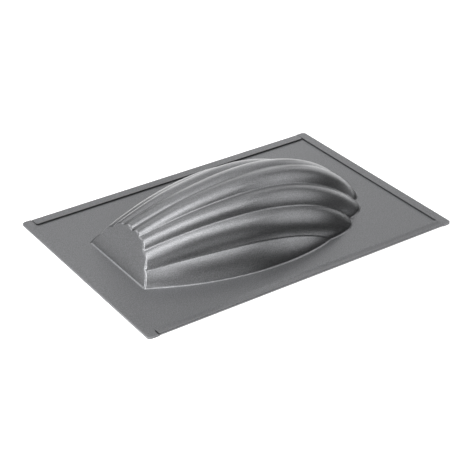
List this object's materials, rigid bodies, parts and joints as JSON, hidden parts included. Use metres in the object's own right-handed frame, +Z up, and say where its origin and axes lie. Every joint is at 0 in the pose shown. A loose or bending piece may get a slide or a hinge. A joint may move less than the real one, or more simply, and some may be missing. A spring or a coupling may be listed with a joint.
{
  "type": "madeleine pan",
  "caption": "Large single-cavity madeleine mould of coated pressed steel: a fluted shell with a flat heel in a wide flat flange with folded hems.",
  "frame": {"origin": "middle of the flange, on the flat face that rests on a table when the cavity faces down", "axes": "+X along the long side, from the shell's flat heel to its rounded toe; +Y to the far long side; +Z up out of the flange, to the shell's crown"},
  "size_m": [0.35, 0.242, 0.0548],
  "materials": {
    "coated_sheet": "satin dark grey metallic non-stick coating",
    "coated_hem": "satin dark grey metallic non-stick coating"
  },
  "bodies": {
    "root": {"pressed_sheet": "coated_sheet", "heel_end_hem": "coated_hem", "toe_end_hem": "coated_hem", "near_side_hem": "coated_hem", "far_side_hem": "coated_hem"}
  },
  "joints": []
}
